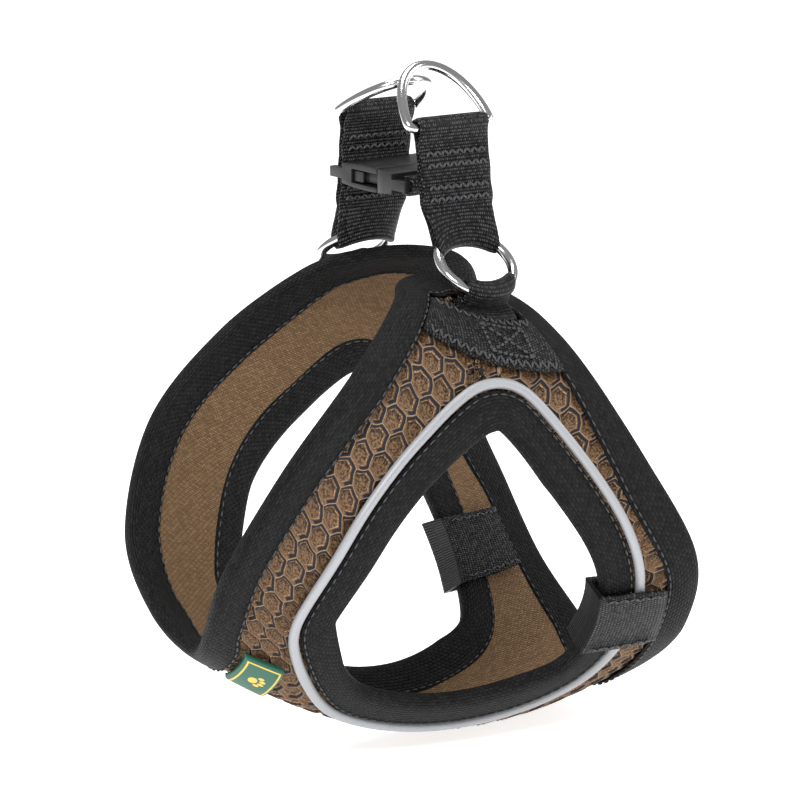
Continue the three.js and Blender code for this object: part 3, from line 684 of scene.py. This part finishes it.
def crossings(side, s, w):
    """The two shares at which the edge's inset line crosses each station."""
    u = np.linspace(0, 1, 1500)
    es, et = inset(side, edge, u, w)
    top = int(np.argmax(es))
    return np.interp(s, es[:top], et[:top]), np.interp(-s, -es[top:], et[top:])


def slab_piece(name, s, t, low, high, uv):
    """A webbing slab over a grid of stations and shares, with rounded selvedges."""
    rows, columns = s.shape
    ease = np.minimum(1, np.minimum(np.arange(rows), np.arange(rows)[::-1]) / 1.5)[:, None]
    ease = 0.45 + 0.55 * np.broadcast_to(ease, s.shape)
    middle = (low + high) / 2
    top = middle + (high - middle) * ease
    under = middle - (high - middle) * ease
    both_s = np.concatenate([s, s[::-1], s[:1]])
    both_t = np.concatenate([t, t[::-1], t[:1]])
    both_h = np.concatenate([top, under[::-1], top[:1]])
    p = skin(side, both_s.ravel(), both_t.ravel(), both_h.ravel()).reshape(*both_s.shape, 3)
    both_uv = np.concatenate([uv, uv[::-1], uv[:1]])
    return grid_piece(name, p, both_uv, closed=True, hollow=False)


def zigzag(side, s0, s1, t_low, t_high, height, pitch):
    """Zigzag stitches between two stations, along the share from t_low to t_high."""
    wide = np.linspace(0, 1, 400)
    s = np.full(400, (s0 + s1) / 2)
    line = skin(side, s, t_low + (t_high - t_low) * wide, height)
    far = run_length(line) / MM
    count = int(far[-1] // pitch)
    at = np.interp(np.linspace(0, far[-1], count + 1), far, wide)
    t = t_low + (t_high - t_low) * at
    s = np.where(np.arange(count + 1) % 2, s0, s1)
    p = skin(side, s, t, height)
    return list(zip(p[:-1], p[1:]))


for tag, side in SIDES.items():
    s = np.linspace(PATCH_LOW, PATCH_HIGH, 15)
    t0, t1 = crossings(side, s, TAPE_EDGE)
    share = np.linspace(0, 1, 90)
    t = t0[:, None] * (1 - share) + t1[:, None] * share
    s = np.broadcast_to(s[:, None], t.shape)
    flat = flat_map(side, s.ravel(), t.ravel()).reshape(*s.shape, 2)
    patch = slab_piece("top_patch_web_" + tag, s, t, 2.55, 3.85, flat)
    patch.data.materials.append(WEBBING)
    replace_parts(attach(patch, "vest"), "top_patch_" + tag)
    side["patch"] = patch
    a, b = crossings(side, np.array([PATCH_LOW + 0.07, PATCH_HIGH - 0.07]), EDGE_WIDTH)
    rows = zigzag(side, PATCH_LOW + 0.01, PATCH_LOW + 0.1, a[0] + 0.01, b[0] - 0.01, 3.95, 1.25)
    rows += zigzag(side, PATCH_HIGH - 0.1, PATCH_HIGH - 0.01, a[1] + 0.01, b[1] - 0.01, 3.95, 1.25)
    side["patch_stitches"] = stitch_piece("patch_stitches_" + tag, rows, "vest", 0.34)

CUFF_START, CUFF_END = 0.289, 0.339
for tag, side in SIDES.items():
    u = np.linspace(CUFF_END, CUFF_START, 24)
    sa, ta = inset(side, hole, u, LEG_WIDTH)
    tb = crossings(side, sa, EDGE_WIDTH + 0.3)[1]
    profile = [[-1.9, -3.6], [1, -3.65], [1, -2.4], [-0.7, -2.3],
               [-0.7, 4.3], [1, 4.3], [1, 5.5], [-1.9, 5.35]]
    section, round_it = rounded(profile, 60, 1)
    length = np.linalg.norm(surface(side, sa, ta) - surface(side, sa, tb), axis=1)
    points = np.empty((24, 61, 3))
    for j, (w, h) in enumerate(section):
        w = w / length if w < 0 else np.full(24, w)
        points[:, j] = skin(side, sa, ta + (tb - ta) * w, h)
    across = np.linspace(0, 18, 24)
    fold_at = np.interp(section[:, 0], [-2, 0, 1], [-2, 0, length.mean()])
    fold_at = fold_at + np.where(section[:, 1] > 1, 0, 30)
    uv = np.stack(np.broadcast_arrays(fold_at[None], across[:, None]), axis=2)
    cuff = grid_piece("leg_cuff_web_" + tag, points, uv, closed=True, hollow=False)
    cuff.data.materials.append(WEBBING)
    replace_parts(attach(cuff, "vest"), "leg_cuff_" + tag)
    side["cuff"] = cuff
    rows = []
    for k in (0.06, 0.94):
        centre = int(round(k * 23))
        near = centre + (1 if centre < 12 else -1)
        for h in (5.6, -3.75):
            steps = np.linspace(0.04, 0.97, 12)
            pick = np.where(np.arange(12) % 2, centre, near)
            p = skin(side, sa[pick], ta[pick] + (tb[pick] - ta[pick]) * steps, h)
            rows += list(zip(p[:-1], p[1:]))
    side["cuff_stitches"] = stitch_piece("cuff_stitches_" + tag, rows, "vest", 0.3)

# ---- Rings ----
# Welded rings of nickel-plated wire: an O-ring joins each strap to its flank, and a D-ring in the top of
# each strap takes the leash clip.
def steel_material():
    material, shader, put = node_tree("ring_steel")
    place = put("TexCoord").outputs["Object"]
    fine = put("TexNoise", {"Vector": place, "Scale": 900.0, "Detail": 3.0}).outputs["Fac"]
    broad = put("TexNoise", {"Vector": place, "Scale": 120.0, "Detail": 2.0}).outputs["Fac"]
    put.join(put.mix(broad, (0.62, 0.62, 0.64, 1), (0.85, 0.85, 0.86, 1)), shader.inputs["Base Color"])
    put.join(put.math("ADD", 0.09, put.math("MULTIPLY", fine, 0.12)), shader.inputs["Roughness"])
    bump = put("Bump", {"Strength": 0.08, "Distance": 0.0001, "Height": fine})
    put.join(bump.outputs[0], shader.inputs["Normal"])
    shader.inputs["Metallic"].default_value = 1.0
    return material


STEEL = steel_material()
WIRE = 1.25  # radius of the rings' wire
O_RADIUS, O_LEAN = 9.75, math.radians(52)
D_HALF, D_REACH = 11.75, 18
HARDWARE = {"left": (12, (13.5, 111.3), (2, 144), math.radians(43)),
            "right": (9, (37.7, 107.3), (27, 144.5), math.radians(60))}


def wire_piece(name, path, side):
    """Round wire along a closed path in millimetres, y outward."""
    n, m = len(path), 16
    ahead = np.roll(path, -1, 0) - np.roll(path, 1, 0)
    ahead /= np.linalg.norm(ahead, axis=1)[:, None]
    flat = np.cross(ahead[0], ahead[n // 4])
    flat /= np.linalg.norm(flat)
    beside = np.cross(flat, ahead)
    beside /= np.linalg.norm(beside, axis=1)[:, None]
    turn = np.linspace(0, 2 * np.pi, m + 1)
    p = (path[:, None] + WIRE * (np.cos(turn)[None, :, None] * beside[:, None]
                                 + np.sin(turn)[None, :, None] * flat))
    p = np.concatenate([p, p[:1]])
    p[:, -1] = p[:, 0]
    p = settle(side, p.reshape(-1, 3)).reshape(n + 1, m + 1, 3)
    uv = np.stack(np.meshgrid(np.arange(n + 1.0), np.arange(m + 1.0), indexing="ij"), axis=2)
    return grid_piece(name, p, uv, closed=True)


for tag, side in SIDES.items():
    x, (ring_y, ring_z), (bar_y, bar_z), lean = HARDWARE[tag]
    side["x"] = x
    side["ring"] = np.array([x, ring_y, ring_z], float)
    side["up"] = np.array([0, -math.sin(O_LEAN), math.cos(O_LEAN)])
    side["bar"] = np.array([x, bar_y, bar_z], float)
    turn = np.linspace(0, 2 * np.pi, 96, endpoint=False)[:, None]
    path = side["ring"] + O_RADIUS * (np.sin(turn) * [1, 0, 0] + np.cos(turn) * side["up"])
    ring = wire_piece("o_ring_wire_" + tag, path, side)
    # the D: a straight bar with tight corners and a round bow
    half = np.linspace(0, np.pi, 60)
    bow = np.column_stack([D_HALF * np.cos(half), D_REACH * np.sin(half)])
    bar = np.column_stack([np.linspace(-D_HALF, D_HALF, 26)[1:-1], np.zeros(24)])
    outline = np.vstack([bow, bar])
    for _ in range(2):
        outline = (np.roll(outline, 1, 0) + 2 * outline + np.roll(outline, -1, 0)) / 4
    lean_way = np.array([0, -math.sin(lean), math.cos(lean)])
    path = side["bar"] + outline[:, :1] * [1, 0, 0] + outline[:, 1:] * lean_way
    d_ring = wire_piece("d_ring_wire_" + tag, path, side)
    for obj, node in ((ring, "o_ring_" + tag), (d_ring, "d_ring_" + tag)):
        obj.data.materials.append(STEEL)
        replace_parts(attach(obj, node), node)

# ---- Straps and tabs ----
# Doubled 20 mm webbing: each strap loops round the D-ring's bar above and the O-ring below, gathered where
# it wraps the ring. A short tab of the same webbing holds the O-ring to the patch.
WEB_WIDTH, WEB_THICK = 20, 1.1


def web_loop(name, side, line, width, drop, node, body):
    """Webbing along a closed line in the y and z plane; drop moves each point across the width."""
    n = len(line)
    ahead = np.roll(line, -1, 0) - np.roll(line, 1, 0)
    ahead /= np.linalg.norm(ahead, axis=1)[:, None]
    off = np.column_stack([ahead[:, 1], -ahead[:, 0]])
    m = 25
    across = np.linspace(-0.5, 0.5, m)
    lip = np.sqrt(np.clip(1 - (np.abs(across) / 0.5) ** 14, 0.12, 1)) * WEB_THICK / 2
    x = np.concatenate([across, across[::-1], across[:1]])
    h = np.concatenate([lip, -lip[::-1], lip[:1]])
    p = np.empty((n + 1, len(x), 3))
    for i in range(n + 1):
        k = i % n
        p[i, :, 0] = side["x"] + x * width[k]
        centre = line[k] + off[k] * h[:, None]
        p[i, :, 1:] = centre + drop(x * width[k], k)
    far = run_length(np.vstack([line, line[:1]]))
    uv = np.stack(np.broadcast_arrays(far[:, None], (x * WEB_WIDTH)[None]), axis=2)
    p = settle(side, p.reshape(-1, 3)).reshape(n + 1, len(x), 3)
    obj = grid_piece(name, p, uv, closed=True)
    obj.data.materials.append(WEBBING)
    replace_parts(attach(obj, body), node)
    return obj


def arc(centre, radius, start, end, count):
    a = np.linspace(start, end, count)
    return np.column_stack([centre[0] + radius * np.cos(a), centre[1] + radius * np.sin(a)])


def even(line, count):
    line = np.vstack([line, line[:1]])
    far = run_length(line)
    at = np.linspace(0, far[-1], count, endpoint=False)
    return np.column_stack([np.interp(at, far, line[:, k]) for k in (0, 1)])


def fall(x):
    """How far the O-ring's arc falls away from its top, across the webbing's width."""
    return O_RADIUS - np.sqrt(np.clip(O_RADIUS**2 - x**2, 4, None))


def bulge(y, deep):
    """How far a strap's face stands off its middle, waving along its length."""
    return 0.62 + deep * np.sin(y * 0.42) ** 2


OUTER_WAVE, INNER_WAVE = 0.5, 0.35
for tag, side in SIDES.items():
    sag_axis = side["up"][1:]
    high = side["ring"][1:] + sag_axis * (O_RADIUS - 0.6)
    bar = side["bar"][1:]
    way = (bar - high) / np.linalg.norm(bar - high)
    normal = np.array([way[1], -way[0]])
    tilt = math.atan2(way[1], way[0])
    wrap = WIRE + 0.25 + WEB_THICK / 2
    lower = arc(high, wrap + 0.2, tilt + np.pi / 2 + 0.6, tilt + 3 * np.pi / 2 - 0.6, 20)
    upper = arc(bar, wrap, tilt - np.pi / 2, tilt + np.pi / 2, 20)
    tall = np.linalg.norm(bar - high)
    climb = np.linspace(5, tall - 4, 14)
    back = np.linspace(tall - 4, 5, 14)
    out_side = [high + way * y + normal * bulge(y, OUTER_WAVE) for y in climb]
    in_side = [high + way * y - normal * bulge(y, INNER_WAVE) for y in back]
    loop = even(np.vstack([lower, out_side, upper, in_side]), 200)
    height = (loop - high) @ way
    width = np.interp(height, [-2, 2, 6, 9], [16.6, 17.4, 19.4, 20])
    width = width + 0.35 * np.sin(height * 0.9)
    weight = np.interp(height, [0, 7], [1, 0])
    node = "strap_" + tag
    web_loop("strap_web_" + tag, side, loop, width,
             lambda x, k: -np.outer(fall(x) * weight[k] * 0.85, sag_axis), node, node)
    # two bands of zigzag close the loops
    rows = []
    for level in (9.5, 12.5, tall - 6.5, tall - 9.5):
        count = 17
        x = np.linspace(-8.6, 8.6, count)
        y = level + np.where(np.arange(count) % 2, 0.7, -0.7)
        for face in (1, -1):
            stand = bulge(y, OUTER_WAVE if face > 0 else INNER_WAVE)
            p = np.empty((count, 3))
            p[:, 0] = side["x"] + x
            p[:, 1:] = high + np.outer(y, way) + np.outer(face * (stand + WEB_THICK / 2 + 0.1), normal)
            p = settle(side, p)
            rows += list(zip(p[:-1], p[1:]))
    stitch_piece("strap_stitches_" + tag, rows, "strap_" + tag, 0.4)

# first and last station that each tab is sewn down at, and the height it lies at
TABS = {"left": (5.36, 5.56, 2.3), "right": (4.88, 5.22, 4.9)}
for tag, side in SIDES.items():
    sag_axis = side["up"][1:]
    def share_at(s, x):
        t = np.linspace(-0.2, 1.2, 500)
        return float(np.interp(x, surface(side, np.full(500, s), t)[:, 0], t))
    tab_low, tab_high, tab_base = TABS[tag]
    low_c = side["ring"][1:] - sag_axis * (O_RADIUS - 0.6)
    stations = np.linspace(tab_low, tab_high - 0.04, 8)
    def lying(x, h):
        t = np.array([share_at(s, side["x"] + x) for s in stations])
        p = surface(side, stations, t) + directions(side, stations, t)[2] * h
        return p[:, 1:]
    top_path, base_path = lying(0.0, tab_base + 1.6), lying(0.0, tab_base + 0.4)
    toward = top_path[-1] - low_c
    tilt = math.atan2(toward[1], toward[0])
    wrap = WIRE + 0.25 + WEB_THICK / 2
    ring_wrap = arc(low_c, wrap, tilt + 0.75, tilt + 2 * np.pi - 0.75, 26)
    first = np.linalg.norm(ring_wrap[0] - top_path[-1]) < np.linalg.norm(ring_wrap[-1] - top_path[-1])
    if not first:
        ring_wrap = ring_wrap[::-1]
    loop = even(np.vstack([top_path, ring_wrap, base_path[::-1]]), 150)
    near_ring = np.clip(1 - (np.linalg.norm(loop - low_c, axis=1) - wrap) / 6, 0, 1)
    width = 16 - 2.5 * near_ring
    spread = [(x, lying(x, tab_base + 1) - lying(0.0, tab_base + 1)) for x in (-8.0, 8.0)]
    on_patch = np.clip((np.linalg.norm(loop - low_c, axis=1) - wrap - 2) / 4, 0, 1)
    middle_line = lying(0.0, tab_base + 1)
    def drop(x, k):
        nearest = int(np.argmin(np.linalg.norm(middle_line - loop[k], axis=1)))
        follow = np.where(x < 0, x / -8.0, 0)[:, None] * spread[0][1][nearest] \
            + np.where(x > 0, x / 8.0, 0)[:, None] * spread[1][1][nearest]
        arch = np.outer(fall(x) * near_ring[k] * 0.85, sag_axis)
        return follow * on_patch[k] + arch
    tab = web_loop("ring_tab_web_" + tag, side, loop, width, drop, "ring_tab_" + tag, "vest")
    side["tab"] = tab
    # a box of stitches with a cross holds the tab through the patch
    box_low, box_high = PATCH_LOW + 0.13, PATCH_HIGH - 0.13
    box_height = 4.0 if tag == "left" else 6.4
    def on_box(fx, fs):
        s = box_low + (box_high - box_low) * fs
        t = share_at(s, side["x"] + 6.0 * fx)
        return skin(side, np.array([s]), np.array([t]), np.array([box_height]))[0]
    rows = []
    for (x0, s0), (x1, s1) in (((-1, 0), (1, 0)), ((1, 0), (1, 1)), ((1, 1), (-1, 1)),
                               ((-1, 1), (-1, 0)), ((-1, 0), (1, 1)), ((1, 0), (-1, 1))):
        count = 8 if x0 != x1 else 6
        for k in range(count):
            f, g = k / count, (k + 0.8) / count
            ends = [on_box(x0 + (x1 - x0) * w, s0 + (s1 - s0) * w) for w in (f, g)]
            rows.append(ends)
    side["tab_stitches"] = stitch_piece("tab_stitches_" + tag, rows, "vest", 0.46)

# ---- Buckle ----
# Side-release buckle in black moulded plastic: a socket with open sides, and a plug with two springy
# prongs. Each half holds its webbing on a bar. Edges are rounded as the mould leaves them.
def plastic_material():
    material, shader, put = node_tree("buckle_plastic")
    place = put("TexCoord").outputs["Object"]
    grain = put("TexNoise", {"Vector": place, "Scale": 1800.0, "Detail": 3.0}).outputs["Fac"]
    rub = put("TexNoise", {"Vector": place, "Scale": 160.0, "Detail": 4.0}).outputs["Fac"]
    put.join(put.mix(rub, (0.003, 0.003, 0.0035, 1), (0.014, 0.014, 0.015, 1)), shader.inputs["Base Color"])
    put.join(put.math("ADD", 0.26, put.math("MULTIPLY", rub, 0.2)), shader.inputs["Roughness"])
    bump = put("Bump", {"Strength": 0.18, "Distance": 0.0001, "Height": grain})
    put.join(bump.outputs[0], shader.inputs["Normal"])
    return material


PLASTIC = plastic_material()
for name, node, body in (("buckle_socket_moulding", "buckle_socket", "socket"),
                         ("buckle_plug_moulding", "buckle_plug", "plug"),
                         ("buckle_prong_moulding_front", "buckle_prong_front", "prong_front"),
                         ("buckle_prong_moulding_rear", "buckle_prong_rear", "prong_rear")):
    bm = bmesh.new()
    bm.from_mesh(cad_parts[node].data)
    bmesh.ops.remove_doubles(bm, verts=bm.verts, dist=1e-6)
    bmesh.ops.dissolve_limit(bm, angle_limit=math.radians(1), verts=bm.verts, edges=bm.edges)
    bmesh.ops.triangulate(bm, faces=[f for f in bm.faces if len(f.verts) > 4])
    obj = make_object(name, bm)
    bevel = obj.modifiers.new("mould_edges", "BEVEL")
    bevel.width = 0.6 * MM
    bevel.segments = 3
    bevel.limit_method = "ANGLE"
    bevel.angle_limit = math.radians(35)
    obj.data.materials.append(PLASTIC)
    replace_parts(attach(obj, body), node)

# ---- Plug keeper ----
# The turn of webbing that holds the plug's bar to the strap.
bm = bmesh.new()
bm.from_mesh(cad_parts["plug_keeper"].data)
bmesh.ops.remove_doubles(bm, verts=bm.verts, dist=1e-6)
cloth = bm.loops.layers.uv.new("cloth")
low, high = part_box("plug_keeper")
for face in bm.faces:
    for loop in face.loops:
        loop[cloth].uv = ((loop.vert.co.z - low.z) / MM, (loop.vert.co.x - low.x) / MM)
keeper = make_object("plug_keeper_web", bm)
keeper.data.materials.append(WEBBING)
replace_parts(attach(keeper, "plug"), "plug_keeper")

# ---- Badge ----
# A soft rubber badge, dark green with a raised yellow border and a plain paw print, sewn over the belly
# end of the left neck edge.
def badge_material():
    material, shader, put = node_tree("badge_rubber")
    uv = put("UVMap", uv_map="cloth").outputs[0]
    split = put("SeparateXYZ", {0: uv})
    x, y = split.outputs[0], split.outputs[1]
    edge_x = put.math("ABSOLUTE", x)
    edge_y = put.math("ABSOLUTE", y)
    past_end = put.math("SUBTRACT", edge_x, BADGE_LONG / 2)
    past_side = put.math("SUBTRACT", edge_y, BADGE_WIDE / 2)
    far = put.math("MAXIMUM", past_end, past_side)
    line = put.math("MULTIPLY", put.ramp(far, -1.75, -1.6), put.ramp(far, -1.05, -1.2))
    # the paw: a pad and four toes, each a place and two half widths
    marks = [(0, -0.9, 1.75, 1.4), (-2.3, 1.0, 0.7, 0.95), (-0.85, 1.9, 0.7, 1.0),
             (0.85, 1.9, 0.7, 1.0), (2.3, 1.0, 0.7, 0.95)]
    for cx, cy, rx, ry in marks:
        dx = put.math("DIVIDE", put.math("SUBTRACT", x, cx), rx)
        dy = put.math("DIVIDE", put.math("SUBTRACT", y, cy), ry)
        r = put.math("SQRT", put.math("ADD", put.math("MULTIPLY", dx, dx), put.math("MULTIPLY", dy, dy)))
        line = put.math("MAXIMUM", line, put.ramp(r, 1.05, 0.92))
    grain = put("TexNoise", {"Vector": uv, "Scale": 3.0, "Detail": 4.0}).outputs["Fac"]
    green = put.mix(grain, (0.008, 0.075, 0.045, 1), (0.014, 0.12, 0.075, 1))
    put.join(put.mix(line, green, (0.75, 0.5, 0.06, 1)), shader.inputs["Base Color"])
    height = put.math("ADD", put.math("MULTIPLY", grain, 0.15), put.math("MULTIPLY", line, 0.6))
    bump = put("Bump", {"Strength": 0.6, "Distance": 0.0003, "Height": height})
    put.join(bump.outputs[0], shader.inputs["Normal"])
    shader.inputs["Roughness"].default_value = 0.5
    return material


BADGE_LONG, BADGE_WIDE = 19.0, 13.0
side = SIDES["left"]
s = np.linspace(0.3, 1.17, 40)
t0 = crossings(side, s, EDGE_WIDTH + 0.5)[0]
back = np.linalg.norm(directions(side, s, t0)[1], axis=1)
share = np.linspace(0, 1, 30)
t = t0[:, None] + share * (BADGE_WIDE / back)[:, None]
ss = np.broadcast_to(s[:, None], t.shape)
rise_s = np.minimum(1, np.minimum(np.arange(40), np.arange(40)[::-1]) / 3)
rise_t = np.minimum(1, np.minimum(np.arange(30), np.arange(30)[::-1]) / 3)
rise = np.minimum.outer(rise_s, rise_t)
h = 2.7 + 1.35 * np.sqrt(1 - (1 - rise) ** 2)
top = skin(side, ss.ravel(), t.ravel(), h.ravel()).reshape(40, 30, 3)
across = np.linspace(-BADGE_LONG / 2, BADGE_LONG / 2, 40)
along = np.linspace(-BADGE_WIDE / 2, BADGE_WIDE / 2, 30)
uv = np.stack(np.meshgrid(across, along, indexing="ij"), axis=2)
badge = grid_piece("badge_patch", top, uv)
outward(badge, side)
thicken(badge, 0.9)
badge.data.materials.append(badge_material())
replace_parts(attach(badge, "vest"), "badge")


for tag, side in SIDES.items():
    trims = [side[k] for k in ("edge_tape", "leg_tape", "seams", "piping", "patch", "patch_stitches", "cuff",
                               "cuff_stitches", "tab", "tab_stitches")]
    if tag == "left":
        trims.append(badge)

# ---- Studio ----
# A pale floor under the vest, a broad soft light from each side and above, and the camera in front of the
# left flank.
low, high = CAD_BOX
bm = bmesh.new()
under = Matrix.Translation((0, 0, low.z - 0.0015))
bmesh.ops.create_grid(bm, x_segments=1, y_segments=1, size=4, matrix=under)
floor = make_object("floor", bm)
material, shader, put = node_tree("pale_floor")
tone = put("TexNoise", {"Scale": 3.0, "Detail": 2.0}).outputs["Fac"]
put.join(put.mix(tone, (0.88, 0.88, 0.88, 1), (0.92, 0.92, 0.92, 1)), shader.inputs["Base Color"])
shader.inputs["Roughness"].default_value = 0.9
shader.inputs["Emission Color"].default_value = (1, 1, 1, 1)
shader.inputs["Emission Strength"].default_value = 0.75
floor.data.materials.append(material)

world = bpy.data.worlds.new("studio")
bpy.context.scene.world = world
world.use_nodes = True
world.node_tree.nodes["Background"].inputs[0].default_value = (1, 1, 1, 1)
world.node_tree.nodes["Background"].inputs[1].default_value = 0.3
for name, place, size, power in (("key", (-0.7, -0.55, 0.8), 0.35, 12), ("fill", (0.85, -0.4, 0.45), 0.5, 4),
                                 ("top", (0.1, 0.3, 0.95), 0.5, 7)):
    light = bpy.data.objects.new(name, bpy.data.lights.new(name, "AREA"))
    light.data.size = size
    light.data.energy = power
    light.location = place
    light.rotation_euler = (-Vector(place)).to_track_quat("-Z", "Y").to_euler()
    bpy.context.scene.collection.objects.link(light)

AZIMUTH, ELEVATION, DISTANCE = math.radians(-32.6), math.radians(13.7), 0.9
level = math.cos(ELEVATION)
toward = Vector((math.sin(AZIMUTH) * level, -math.cos(AZIMUTH) * level, math.sin(ELEVATION)))
aim = Vector((-0.001, 0.0006, 0.0157))
camera = bpy.data.objects.new("camera", bpy.data.cameras.new("camera"))
camera.data.lens = 163
camera.location = aim + toward * DISTANCE
camera.rotation_euler = toward.to_track_quat("Z", "Y").to_euler()
bpy.context.scene.collection.objects.link(camera)
bpy.context.scene.camera = camera
bpy.context.scene.view_settings.view_transform = "Standard"
